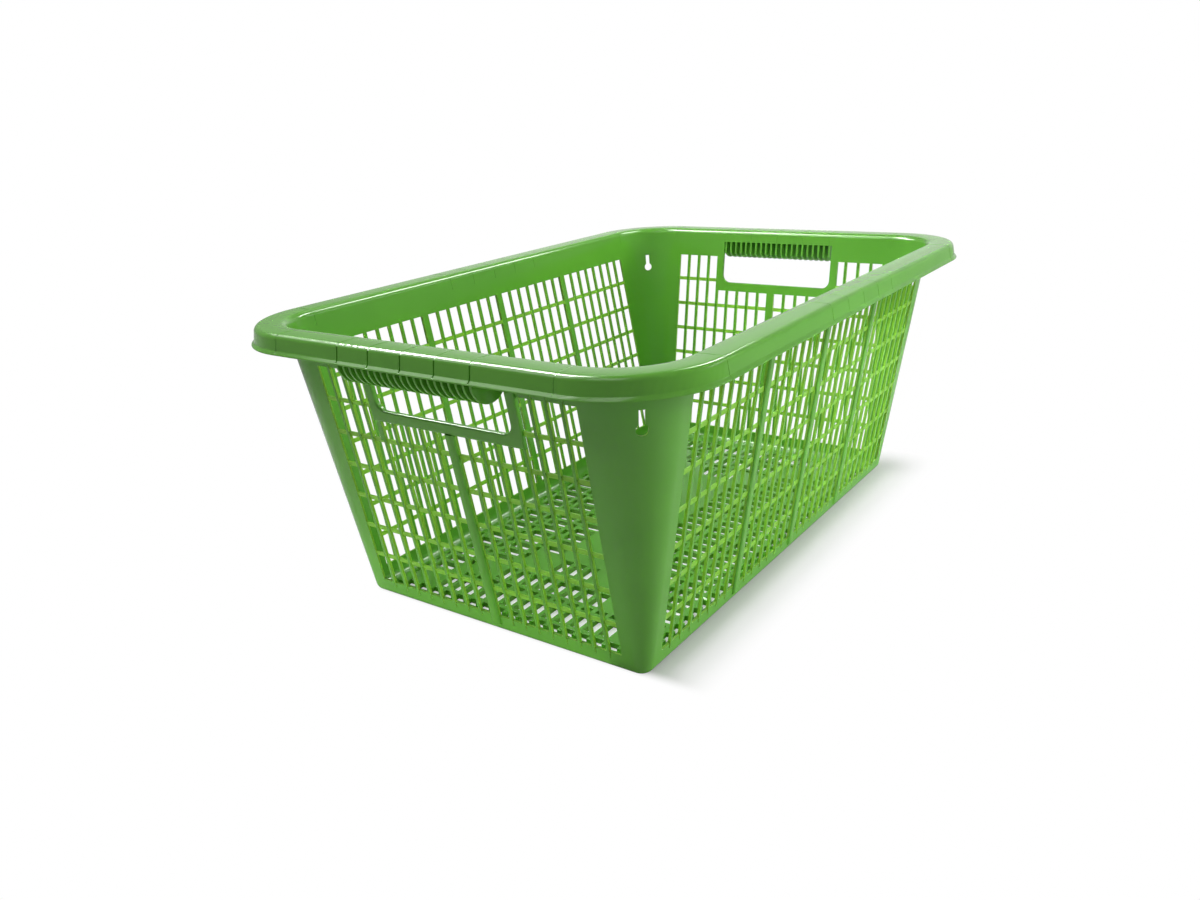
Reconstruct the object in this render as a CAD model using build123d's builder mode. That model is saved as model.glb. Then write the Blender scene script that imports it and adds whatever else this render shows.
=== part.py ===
from build123d import *
import math
import os

os.makedirs("parts", exist_ok=True)

# Overall sizes, in millimetres
length = 640.0  # over the lip of the rim, along X
width = 440.0  # over the lip of the rim, along Y
height = 256.0  # from the ground to the top of the rim
flare = 42.5  # how far each wall leans out between the ground and the top of the rim
base_corner_radius = 10.0  # outside corner at the ground, which widens by the flare on its way up
wall_thickness = 2.0  # measured level, through the sheet of a wall

# Rim: an upside-down channel with a small lip along the foot of its skirt
rim_overhang = 28.0  # from the wall to the edge of the lip
rim_thickness = 2.4
rim_leg = 14.0  # height of the inner leg, which carries on from the wall
rim_edge_radius = 3.0
skirt_depth = 16.0  # from the top of the rim to the foot of the lip
skirt_draft = 2.0  # how far the skirt leans out on its way down
lip_height = 3.2
lip_edge = 0.9  # height of the upright edge of the lip, under its slope
lip_reach = 2.3  # how far the lip stands out from the skirt
web_thickness = 2.0
web_spacing = 33.0
webs_at_middle = 5  # stiffening webs in the middle of each long rail

# Window grid of the walls
window_rows = 7
top_band = 31.5  # plain wall under the top of the rim
bottom_band = 16.0  # plain wall over the ground
bar_height = 3.8  # level bars
bar_width = 3.2  # upright bars
side_margin = 9.5  # plain wall between the last window and the corner post
rib_proud = 0.6  # how far an upright bar stands out of the wall
rib_foot = 11.0  # height where the upright ribs start on the bottom band
rib_rise = 4.0  # how far they run up into the top band
rib_round = 0.5
snug = 0.97  # largest share of its wall that a rounded edge takes up

# Long sides: three broad stiffeners part the windows into four bays
stiffener_spacing = 110.0
stiffener_width = 8.0
stiffener_proud = 2.0
stiffener_round = 1.6
broad_foot = 8.0  # height where the broad ribs and stiffeners start
middle_bay_columns = 7
outer_bay_columns = 8

# Ends: a broad half-round rib, a little off the middle, with windows on both sides
end_rib_offset = 3.8
end_rib_width = 9.0
end_rib_proud = 3.5
end_rib_round = 3.4
end_side_columns = 9

# Hand-holds
handle_width = 138.0
handle_depth = 48.0  # from the top of the gap, at the foot of the rim's leg, down to its sill
handle_corner = 9.0
frame_width = 8.7  # posts of the frame around the gap
sill_height = 10.0
frame_proud = 2.4
frame_round = 1.4
fin_count = 21
fin_thickness = 2.2
grip_clearance = 1.5  # between the last fins and the edges of the gap
grip_inset = 1.5  # from the edge of the lip to the front of the grip
grip_drop = 13.0  # how far the grip reaches below the foot of the rim's leg, at the inner wall
grip_belly = 6.5  # how much lower the middle of the grip is

# Keyholes in the corner posts
keyhole_drop = 46.5  # from the top of the rim to the middle of the round hole
keyhole_diameter = 9.0
keyhole_slot_width = 4.6
keyhole_slot_length = 14.7  # from the middle of the hole to the end of the slot

# Floor grille: rings of short and long windows around a plain middle
floor_thickness = 2.2
floor_edge_radius = 1.6
base_ring_width = 9.0  # plain ring around the floor, under the walls
floor_margin_x = 10.0  # plain floor between the base ring and the first windows
floor_margin_y = 4.0
floor_rings = 3  # each is a band of short windows with a band of long ones inside it
floor_bar = 4.6
floor_window_width = 10.4
floor_long_window = 22.0
floor_short_window = 5.5

# Worked out from the sizes above
lean = flare / height
corner_x = length / 2 - rim_overhang - flare - base_corner_radius  # upright axes that the corners turn about
corner_y = width / 2 - rim_overhang - flare - base_corner_radius
seam = height - rim_leg  # the walls end and the rim begins here
lip_out = base_corner_radius + flare + rim_overhang
lip_foot = height - skirt_depth
rim_under = height - rim_thickness
skirt_foot_out = lip_out - lip_reach
skirt_top_out = skirt_foot_out - skirt_draft
window_top = height - top_band
row_pitch = (window_top - bottom_band + bar_height) / window_rows
rib_top = window_top + rib_rise
handle_sill = seam - handle_depth
frame_foot = handle_sill - sill_height
frame_out = handle_width / 2 + frame_width
rows_beside_handle = math.ceil((window_top + bar_height / 2 - frame_foot) / row_pitch)
split_height = window_top - rows_beside_handle * row_pitch + bar_height / 2  # middle of a level bar
grip_inner_foot = seam - grip_drop

sides = {"front": 0, "right": 90, "back": 180, "left": 270}  # turn about the upright axis
half_run = {"front": corner_x, "back": corner_x, "left": corner_y, "right": corner_y}
reach_of = {"front": corner_y, "back": corner_y, "left": corner_x, "right": corner_x}
# Each corner begins where the side named after it ends
corners = {"front_right": "front", "back_right": "right", "back_left": "back", "front_left": "left"}


def wall_out(z):
    # How far the outer face of a wall stands from the corner axis at a height
    return base_corner_radius + lean * z


def skirt_in(z):
    # How far the inner face of the skirt stands from the corner axis at a height
    fall = (rim_under - z) / (rim_under - lip_foot)
    return skirt_top_out - rim_thickness + skirt_draft * fall


def sloped(rise):
    # Length up the slope of a wall for a rise
    return rise * math.hypot(1, lean)


def turned(x, y, z, turn):
    return Vector(x, y, z).rotate(Axis.Z, turn)


def wall_plane(turn, reach):
    # Outer face of a wall: x runs along the wall and y up its slope
    start = turned(0, -reach - base_corner_radius, 0, turn)
    return Plane(origin=start, x_dir=turned(1, 0, 0, turn), z_dir=turned(0, -1, -lean, turn))


def cross_plane(turn, along, reach):
    # Upright plane across a wall: x runs outwards from the corner axis and y up
    start = turned(along, -reach, 0, turn)
    return Plane(origin=start, x_dir=turned(0, -1, 0, turn), z_dir=turned(-1, 0, 0, turn))


def corner_axis(side):
    # Upright axis that the corner at the end of a side turns about
    return Axis(turned(half_run[side], -reach_of[side], 0, sides[side]), (0, 0, 1))


def pane(x_low, x_high, z_low, z_high, mode=Mode.ADD):
    # A rectangle on a wall plane, given by its heights above the ground
    with Locations(((x_low + x_high) / 2, sloped((z_low + z_high) / 2))):
        Rectangle(x_high - x_low, sloped(z_high - z_low), mode=mode)


def window_grid(x_low, x_high, columns, z_low, z_high, rows):
    # Even windows with bars between them, cut out of the sketch of a wall
    pitch_x = (x_high - x_low + bar_width) / columns
    pitch_z = (z_high - z_low + bar_height) / rows
    with Locations(((x_low + x_high) / 2, sloped((z_low + z_high) / 2))):
        with GridLocations(pitch_x, sloped(pitch_z), columns, rows):
            Rectangle(pitch_x - bar_width, sloped(pitch_z - bar_height), mode=Mode.SUBTRACT)


def cells(x_low, x_high, columns):
    # Left and right edges of the windows of one bay
    pitch = (x_high - x_low + bar_width) / columns
    return [(x_low + pitch * count, x_low + pitch * (count + 1) - bar_width) for count in range(columns)]


def bar_places(x_low, x_high, columns):
    # Middles of the upright bars between the windows of one bay
    return [right + bar_width / 2 for left, right in cells(x_low, x_high, columns)[:-1]]


def rib_profile(side, places, breadth, proud, rounding, z):
    # Level sections of upright ribs standing on the outer face of a wall
    start = turned(0, -reach_of[side] - wall_out(z), z, sides[side])
    level = Plane(origin=start, x_dir=turned(1, 0, 0, sides[side]), z_dir=(0, 0, 1))
    with BuildSketch(level) as ribs:
        with Locations(*[(place, 0) for place in places]):
            Rectangle(breadth, proud, align=(Align.CENTER, Align.MAX))
        fillet(ribs.vertices().group_by(Axis.Y)[0], min(rounding, snug * proud, snug * breadth / 2))
    return ribs.sketch


def up_slope(side):
    return turned(0, -lean, 1, sides[side])


def inward(side):
    return turned(0, 1, 0, sides[side])


def keep(part, name):
    part.label = name
    export_step(part, f"parts/{name}.step")


def keep_pair(part, name, twin_name):
    # A piece, and the same piece on the opposite side, turned half round the upright axis
    keep(part, name)
    with BuildPart() as twin:
        add(part, rotation=(0, 0, 180))
    keep(twin.part, twin_name)


def rim_outline():
    # Corners of the rim's section, with x outwards from the corner axis and y up
    return [
        (wall_out(seam) - wall_thickness, seam),
        (wall_out(height) - wall_thickness, height),
        (skirt_top_out, height),
        (skirt_foot_out, lip_foot + lip_height),
        (lip_out, lip_foot + lip_edge),
        (lip_out, lip_foot),
        (skirt_in(lip_foot), lip_foot),
        (skirt_in(rim_under), rim_under),
        (wall_out(rim_under), rim_under),
        (wall_out(seam), seam),
    ]


# Rim rails along the four sides
for side, turn in sides.items():
    with BuildPart() as rail:
        with BuildSketch(cross_plane(turn, half_run[side], reach_of[side])) as section:
            Polygon(*rim_outline(), align=Align.NONE)
            fillet(section.vertices().group_by(Axis.Y)[-1], rim_edge_radius)
        extrude(amount=2 * half_run[side])
    keep(rail.part, f"{side}_rim_rail")

# Rim corners, the same section turned about the corner axis
for corner, side in corners.items():
    with BuildPart() as rim_corner:
        with BuildSketch(cross_plane(sides[side], half_run[side], reach_of[side])) as section:
            Polygon(*rim_outline(), align=Align.NONE)
            fillet(section.vertices().group_by(Axis.Y)[-1], rim_edge_radius)
        revolve(axis=corner_axis(side), revolution_arc=90)
    keep(rim_corner.part, f"{corner}_rim_corner")

# Corner posts: quarter cones with a keyhole near the top
for corner, side in corners.items():
    turn = sides[side]
    with BuildPart() as post:
        with BuildSketch(cross_plane(turn, half_run[side], reach_of[side])):
            Polygon(
                (wall_out(floor_thickness), floor_thickness),
                (wall_out(seam), seam),
                (wall_out(seam) - wall_thickness, seam),
                (wall_out(floor_thickness) - wall_thickness, floor_thickness),
                align=Align.NONE,
            )
        revolve(axis=corner_axis(side), revolution_arc=90)
        hole_middle = corner_axis(side).position + Vector(0, 0, height - keyhole_drop)
        diagonal = Plane(origin=hole_middle, x_dir=turned(1, 1, 0, turn), z_dir=turned(1, -1, 0, turn))
        with BuildSketch(diagonal):
            Circle(keyhole_diameter / 2)
            Rectangle(keyhole_slot_width, keyhole_slot_length, align=(Align.CENTER, Align.MIN))
        extrude(amount=lip_out, mode=Mode.SUBTRACT)
    keep(post.part, f"{corner}_corner_post")

# Grilles of the long sides
window_end = corner_x - side_margin
bay_edges = [
    (-window_end, -stiffener_spacing - stiffener_width / 2, outer_bay_columns),
    (-stiffener_spacing + stiffener_width / 2, -stiffener_width / 2, middle_bay_columns),
    (stiffener_width / 2, stiffener_spacing - stiffener_width / 2, middle_bay_columns),
    (stiffener_spacing + stiffener_width / 2, window_end, outer_bay_columns),
]
long_bars = [place for low, high, columns in bay_edges for place in bar_places(low, high, columns)]
with BuildPart() as long_grille:
    with BuildSketch(wall_plane(sides["front"], corner_y)):
        pane(-corner_x, corner_x, floor_thickness, seam)
        for low, high, columns in bay_edges:
            window_grid(low, high, columns, bottom_band, window_top, window_rows)
    extrude(amount=wall_thickness, dir=inward("front"), clean=False)
    ribs = rib_profile("front", long_bars, bar_width, rib_proud, rib_round, rib_foot)
    extrude(ribs, amount=sloped(rib_top - rib_foot), dir=up_slope("front"), clean=False)
keep_pair(long_grille.part, "front_grille", "back_grille")

# Broad stiffeners standing on the outer face of the long sides
stiffener_places = [-stiffener_spacing, 0, stiffener_spacing]
with BuildPart() as stiffeners:
    bands = rib_profile(
        "front", stiffener_places, stiffener_width, stiffener_proud, stiffener_round, broad_foot
    )
    extrude(bands, amount=sloped(rib_top - broad_foot), dir=up_slope("front"))
keep_pair(stiffeners.part, "front_stiffeners", "back_stiffeners")

# Lower grilles of the ends, up to the hand-hold's frame
end_window = corner_y - side_margin
end_bays = [
    (-end_window, end_rib_offset - end_rib_width / 2),
    (end_rib_offset + end_rib_width / 2, end_window),
]
end_bars = [place for low, high in end_bays for place in bar_places(low, high, end_side_columns)]
inner_bars = [place for place in end_bars if abs(place) - bar_width / 2 < frame_out]
outer_bars = [place for place in end_bars if abs(place) - bar_width / 2 >= frame_out]
end_cells = [cell for low, high in end_bays for cell in cells(low, high, end_side_columns)]
short_cells = [(left, right) for left, right in end_cells if -frame_out <= left and right <= frame_out]
short_foot = split_height + bar_height / 2
lower_top = split_height - bar_height / 2
lower_rows = window_rows - rows_beside_handle
with BuildPart() as lower_grille:
    with BuildSketch(wall_plane(sides["left"], corner_x)):
        pane(-corner_y, corner_y, floor_thickness, split_height)
        pane(-frame_out, frame_out, split_height, frame_foot)
        for low, high in end_bays:
            window_grid(low, high, end_side_columns, bottom_band, lower_top, lower_rows)
        for left, right in short_cells:
            pane(left, right, short_foot, frame_foot, Mode.SUBTRACT)
    extrude(amount=wall_thickness, dir=inward("left"), clean=False)
    ribs = rib_profile("left", inner_bars, bar_width, rib_proud, rib_round, rib_foot)
    extrude(ribs, amount=sloped(frame_foot - rib_foot), dir=up_slope("left"), clean=False)
    ribs = rib_profile("left", outer_bars, bar_width, rib_proud, rib_round, rib_foot)
    extrude(ribs, amount=sloped(split_height - rib_foot), dir=up_slope("left"), clean=False)
keep_pair(lower_grille.part, "left_lower_grille", "right_lower_grille")

# Upper grilles beside each hand-hold
for sign, name, twin_name in (
    (1, "left_front_upper_grille", "right_back_upper_grille"),
    (-1, "left_back_upper_grille", "right_front_upper_grille"),
):
    beside = [sorted((abs(left), abs(right))) for left, right in end_cells if sign * left > 0]
    beside = [(near, far) for near, far in beside if far > frame_out + bar_width]
    with BuildPart() as upper_grille:
        with BuildSketch(wall_plane(sides["left"], corner_x)):
            pane(*sorted((sign * frame_out, sign * corner_y)), split_height, seam)
            for near, far in beside:
                near_edge = frame_out if near < frame_out + bar_width else near
                low, high = sorted((sign * near_edge, sign * far))
                window_grid(low, high, 1, short_foot, window_top, rows_beside_handle)
        extrude(amount=wall_thickness, dir=inward("left"), clean=False)
        rib_places = [place for place in outer_bars if sign * place > 0]
        ribs = rib_profile("left", rib_places, bar_width, rib_proud, rib_round, split_height)
        extrude(ribs, amount=sloped(rib_top - split_height), dir=up_slope("left"), clean=False)
    keep_pair(upper_grille.part, name, twin_name)

# Broad half-round ribs under the hand-holds
with BuildPart() as end_rib:
    band = rib_profile("left", [end_rib_offset], end_rib_width, end_rib_proud, end_rib_round, broad_foot)
    extrude(band, amount=sloped(frame_foot - broad_foot), dir=up_slope("left"))
keep_pair(end_rib.part, "left_end_rib", "right_end_rib")

# Raised frames around the hand-holds: a sill and two posts
with BuildPart() as handle_frame:
    with BuildSketch(wall_plane(sides["left"], corner_x + frame_proud)) as outline:
        pane(-frame_out, frame_out, frame_foot, seam)
        pane(-handle_width / 2, handle_width / 2, handle_sill, seam, Mode.SUBTRACT)
        gap_corners = outline.vertices().filter_by_position(Axis.X, -handle_width / 2, handle_width / 2)
        fillet(gap_corners.group_by(Axis.Y)[0], handle_corner)
    extrude(amount=frame_proud + wall_thickness, dir=inward("left"))
    face = handle_frame.faces().sort_by(Axis((0, 0, 0), inward("left") + Vector(0, 0, lean)))[0]
    below_rim = face.edges().filter_by(lambda edge: edge.center().Z < seam - frame_round)
    fillet(below_rim, frame_round)
keep_pair(handle_frame.part, "left_handle_frame", "right_handle_frame")

# Grips: thin plates that fill the rim's channel over each hand-hold, with a round underside
grip_length = handle_width - 2 * grip_clearance
fin_pitch = (grip_length - fin_thickness) / (fin_count - 1)
grip_inner = (wall_out(grip_inner_foot) - wall_thickness, grip_inner_foot)
grip_outer = (lip_out - grip_inset, lip_foot)
grip_middle = ((grip_inner[0] + grip_outer[0]) / 2, grip_inner_foot - grip_belly)
with BuildPart() as grip:
    for count in range(fin_count):
        place = -grip_length / 2 + fin_pitch * count + fin_thickness
        with BuildSketch(cross_plane(sides["left"], place, corner_x)):
            with BuildLine():
                Polyline(
                    grip_inner,
                    (wall_out(seam) - wall_thickness, seam),
                    (wall_out(seam), seam),
                    (wall_out(rim_under), rim_under),
                    (skirt_in(rim_under), rim_under),
                    (skirt_in(lip_foot), lip_foot),
                    grip_outer,
                )
                ThreePointArc(grip_outer, grip_middle, grip_inner)
            make_face()
        extrude(amount=fin_thickness)
keep_pair(grip.part, "left_grip_fins", "right_grip_fins")

# Webs that stiffen the rim's channel: a group on each long side, and one at each end of every rail
middle_webs = [web_spacing * (count - (webs_at_middle - 1) / 2) for count in range(webs_at_middle)]
for side, turn in sides.items():
    end_webs = [web_thickness / 2 - half_run[side], half_run[side] - web_thickness / 2]
    places = end_webs + (middle_webs if side in ("front", "back") else [])
    with BuildPart() as webs:
        for place in places:
            with BuildSketch(cross_plane(turn, place + web_thickness / 2, reach_of[side])):
                Polygon(
                    (wall_out(seam), seam),
                    (wall_out(rim_under), rim_under),
                    (skirt_in(rim_under), rim_under),
                    (skirt_in(seam), seam),
                    align=Align.NONE,
                )
            extrude(amount=web_thickness)
    keep(webs.part, f"{side}_rim_webs")

# Base ring that the walls stand on, with a rounded lower edge
floor_out = wall_out(floor_thickness)
floor_x = 2 * (corner_x + floor_out)
floor_y = 2 * (corner_y + floor_out)
inner_x = floor_x - 2 * base_ring_width
inner_y = floor_y - 2 * base_ring_width
with BuildPart() as base_ring:
    with BuildSketch():
        RectangleRounded(floor_x, floor_y, floor_out)
        Rectangle(inner_x, inner_y, mode=Mode.SUBTRACT)
    extrude(amount=floor_thickness)
    lower_edge = base_ring.faces().sort_by(Axis.Z)[0].outer_wire().edges()
    fillet(lower_edge, min(floor_edge_radius, snug * floor_thickness))
keep(base_ring.part, "base_ring")

# Floor grille inside the base ring
ring_step = floor_short_window + floor_long_window + 2 * floor_bar
window_pitch = floor_window_width + floor_bar


def windows_across(half_length, depth):
    # How many windows fit along a side, clear of the corners where two bands meet
    return math.floor((2 * (half_length - depth - floor_bar) + floor_bar) / window_pitch)


with BuildPart() as floor:
    with BuildSketch():
        Rectangle(inner_x, inner_y)
        for ring in range(floor_rings):
            for step, depth in (
                (0, floor_short_window),
                (floor_short_window + floor_bar, floor_long_window),
            ):
                half_x = inner_x / 2 - floor_margin_x - ring * ring_step - step
                half_y = inner_y / 2 - floor_margin_y - ring * ring_step - step
                with GridLocations(window_pitch, 2 * half_y - depth, windows_across(half_x, depth), 2):
                    Rectangle(floor_window_width, depth, mode=Mode.SUBTRACT)
                with GridLocations(2 * half_x - depth, window_pitch, 2, windows_across(half_y, depth)):
                    Rectangle(depth, floor_window_width, mode=Mode.SUBTRACT)
    extrude(amount=floor_thickness, clean=False)
keep(floor.part, "floor_grille")
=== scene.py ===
import bmesh
import bpy
import math
from mathutils import Matrix, Vector


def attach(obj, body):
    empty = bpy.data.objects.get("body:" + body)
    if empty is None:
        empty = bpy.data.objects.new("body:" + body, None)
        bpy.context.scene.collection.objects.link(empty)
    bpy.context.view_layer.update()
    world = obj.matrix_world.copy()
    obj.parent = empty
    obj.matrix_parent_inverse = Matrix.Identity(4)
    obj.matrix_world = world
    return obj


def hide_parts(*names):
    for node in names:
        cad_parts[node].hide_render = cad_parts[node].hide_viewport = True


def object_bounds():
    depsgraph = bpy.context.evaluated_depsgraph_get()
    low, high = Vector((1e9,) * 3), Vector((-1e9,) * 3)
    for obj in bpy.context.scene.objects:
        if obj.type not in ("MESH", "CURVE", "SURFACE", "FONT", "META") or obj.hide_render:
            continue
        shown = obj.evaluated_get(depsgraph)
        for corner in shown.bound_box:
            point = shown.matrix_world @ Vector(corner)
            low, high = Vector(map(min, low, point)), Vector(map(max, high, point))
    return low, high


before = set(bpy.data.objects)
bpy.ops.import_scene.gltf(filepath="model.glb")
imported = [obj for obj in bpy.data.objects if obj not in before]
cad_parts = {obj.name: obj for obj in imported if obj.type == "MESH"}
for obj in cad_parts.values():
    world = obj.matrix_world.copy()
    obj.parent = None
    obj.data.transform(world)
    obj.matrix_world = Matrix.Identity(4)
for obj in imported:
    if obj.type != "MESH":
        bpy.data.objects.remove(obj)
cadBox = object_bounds()
cadLow, cadHigh = cadBox
print("stage: frame loaded,", len(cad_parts), "nodes")

# Every piece is modelled in millimetres on the front wall and then scaled and turned into its place
mm = 0.001
basket = {
    "length": (cadHigh.x - cadLow.x) / mm,
    "width": (cadHigh.y - cadLow.y) / mm,
    "height": cadHigh.z / mm,
    "flare": 42.5,  # lean of each wall over the full height
    "baseCorner": 10.0,
    "wall": 2.0,
    "overhang": 28.0,  # from the wall to the lip of the rim
    "floor": 2.2,
    "foot": 8.0,  # the base ring turns up to here
    "rimLeg": 14.0,
    "topBand": 31.5,
    "bottomBand": 16.0,
    "rows": 7,
    "barHeight": 3.8,
    "barWidth": 3.2,
    "margin": 9.5,
}
lean = basket["flare"] / basket["height"]
inset = basket["overhang"] + basket["flare"] + basket["baseCorner"]
cornerX = basket["length"] / 2 - inset  # upright axes that the corners turn about
cornerY = basket["width"] / 2 - inset
seam = basket["height"] - basket["rimLeg"]  # walls end and the rim begins
windowTop = basket["height"] - basket["topBand"]
rowPitch = (windowTop - basket["bottomBand"] + basket["barHeight"]) / basket["rows"]
turns = {"front": 0, "left": 270}  # degrees from the front wall
axisX, axisY, axisZ = Vector((1, 0, 0)), Vector((0, 1, 0)), Vector((0, 0, 1))

# how near counts as one place, in mm: verts to merge, points of an outline, lines on a wall
weld = 1e-4
touch = 1e-3
slack = 0.01
sharpAngle = 60  # degrees, steeper outward edges are bevelled
smoothAngle = 38  # degrees, edges up to here are shaded smooth


def wallOut(z):
    return basket["baseCorner"] + lean * z


# Modelling helpers

def leaveEdit():
    if bpy.context.object and bpy.context.object.mode != "OBJECT":
        bpy.ops.object.mode_set(mode="OBJECT")
    bpy.ops.object.select_all(action="DESELECT")


def choose(piece):
    leaveEdit()
    piece.select_set(True)
    bpy.context.view_layer.objects.active = piece


def editMesh():
    return bmesh.from_edit_mesh(bpy.context.edit_object.data)


def pick(kind, test, narrow=False):
    # selects the verts, edges or faces that pass a test, or keeps only those of the current selection
    mesh = editMesh()
    items = {"VERT": mesh.verts, "EDGE": mesh.edges, "FACE": mesh.faces}[kind]
    wanted = [item for item in items if (item.select or not narrow) and test(item)]
    bpy.ops.mesh.select_all(action="DESELECT")
    bpy.ops.mesh.select_mode(type=kind)
    for item in wanted:
        item.select_set(True)
    mesh.select_flush_mode()
    bmesh.update_edit_mesh(bpy.context.edit_object.data)


def selectFaces():
    bpy.ops.mesh.select_mode(type="FACE")
    bpy.ops.mesh.select_all(action="SELECT")


def cutAway(test):
    # deletes the faces that pass a test and selects what is left
    pick("FACE", test)
    bpy.ops.mesh.delete(type="FACE")
    selectFaces()


def merge(distance):
    bpy.ops.mesh.select_all(action="SELECT")
    bpy.ops.mesh.remove_doubles(threshold=distance)


def faceOutwards():
    bpy.ops.mesh.select_all(action="SELECT")
    bpy.ops.mesh.normals_make_consistent(inside=False)


def push(x, y, z):
    bpy.ops.mesh.extrude_region_move(TRANSFORM_OT_translate={"value": (x, y, z)})


def cutLines(axis, places):
    for place in sorted(set(round(p, 5) for p in places)):
        bpy.ops.mesh.select_all(action="SELECT")
        bpy.ops.mesh.bisect(plane_co=axis * place, plane_no=axis, threshold=weld)


def wallSheet(name, xLow, xHigh, zLow, zHigh, reach, depth):
    # an upright plane whose top edge is slid outwards until it lies along the lean of the wall
    leaveEdit()
    middle = ((xLow + xHigh) / 2, -reach - wallOut(zLow) + depth, (zLow + zHigh) / 2)
    bpy.ops.mesh.primitive_plane_add(size=1, location=middle, rotation=(math.pi / 2, 0, 0))
    piece = bpy.context.object
    piece.name = name
    piece.scale = (xHigh - xLow, zHigh - zLow, 1)
    bpy.ops.object.transform_apply(location=True, rotation=True, scale=True)
    bpy.ops.object.mode_set(mode="EDIT")
    pick("VERT", lambda v: v.co.z > middle[2])
    bpy.ops.transform.translate(value=(0, -lean * (zHigh - zLow), 0))
    return piece


def outlineFace(name, points):
    # one corner of a plane is kept and drawn out from point to point, then the outline is filled
    leaveEdit()
    bpy.ops.mesh.primitive_plane_add(size=1)
    piece = bpy.context.object
    piece.name = name
    bpy.ops.object.mode_set(mode="EDIT")
    pick("VERT", lambda v: v.index > 0)
    bpy.ops.mesh.delete(type="VERT")
    pick("VERT", lambda v: True)
    start = editMesh().verts[:][0].co.copy()
    bpy.ops.transform.translate(value=Vector(points[0]) - start)
    for before, after in zip(points, points[1:]):
        step = Vector(after) - Vector(before)
        bpy.ops.mesh.extrude_vertices_move(TRANSFORM_OT_translate={"value": step})
    first, last = Vector(points[0]), Vector(points[-1])
    pick("VERT", lambda v: (v.co - first).length < touch or (v.co - last).length < touch)
    bpy.ops.mesh.edge_face_add()
    bpy.ops.mesh.select_all(action="SELECT")
    bpy.ops.mesh.edge_face_add()
    return piece


def roundCorner(point, run, segments):
    # rounds one corner of a flat outline, starting a run away from it on both sides
    spot = Vector(point)
    pick("VERT", lambda v: (v.co - spot).length < touch)
    bpy.ops.mesh.bevel(offset=run, segments=segments, affect="VERTICES")


def bevelPicked(size, segments):
    bpy.ops.mesh.bevel(offset=size, segments=segments, affect="EDGES", clamp_overlap=True)


def isSharp(edge):
    # an outward edge between two faces that meet steeply
    if len(edge.link_faces) != 2 or not edge.is_convex:
        return False
    return edge.calc_face_angle() > math.radians(sharpAngle)


def isLevel(edge):
    return abs(edge.verts[0].co.z - edge.verts[1].co.z) < slack


def tidyMesh(piece, angle=smoothAngle):
    choose(piece)
    bpy.ops.object.mode_set(mode="EDIT")
    merge(weld)
    faceOutwards()
    bpy.ops.object.mode_set(mode="OBJECT")
    bpy.ops.object.shade_smooth_by_angle(angle=math.radians(angle))
    weighted = piece.modifiers.new("evenShade", "WEIGHTED_NORMAL")
    weighted.keep_sharp = True
    bpy.ops.object.modifier_apply(modifier=weighted.name)


def settle(piece, turn=0):
    # from millimetres to metres, turned to its own side
    choose(piece)
    piece.scale = (mm, mm, mm)
    piece.rotation_euler.z = math.radians(turn)
    bpy.ops.object.transform_apply(location=True, rotation=True, scale=True)


# Materials

def linear(hexColour):
    channels = [int(hexColour[i:i + 2], 16) / 255 for i in (1, 3, 5)]
    return [c / 12.92 if c <= 0.04045 else ((c + 0.055) / 1.055) ** 2.4 for c in channels] + [1]


def addNode(tree, kind, settings=None, inputs=None, links=None):
    node = tree.nodes.new(kind)
    for key, value in (settings or {}).items():
        setattr(node, key, value)
    for key, value in (inputs or {}).items():
        node.inputs[key].default_value = value
    for key, socket in (links or {}).items():
        tree.links.new(socket, node.inputs[key])
    return node


plastic = {
    "deep": "#5da532",
    "leaf": "#68b138",
    "edge": "#9edb48",  # painted glow: thin ribs, bars and edges get this yellower, brighter base colour in place of the light that passes through them
    "through": "#dcff90",
    "throughShare": 0.5,
    "ior": 1.49,
    "specular": 0.6,
    "roughLow": 0.12,
    "roughHigh": 0.18,
    "flowSize": 70.0,  # mm, drift of tone along the flow of the melt
    "scuffSize": 9.0,  # mm
    "scuffLow": 0.35,
    "scuffHigh": 0.75,
    "peelSize": 2.5,  # mm, drawn coarser than the real orange peel so that it shows
    "peelDepth": 0.006,  # mm
}


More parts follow.
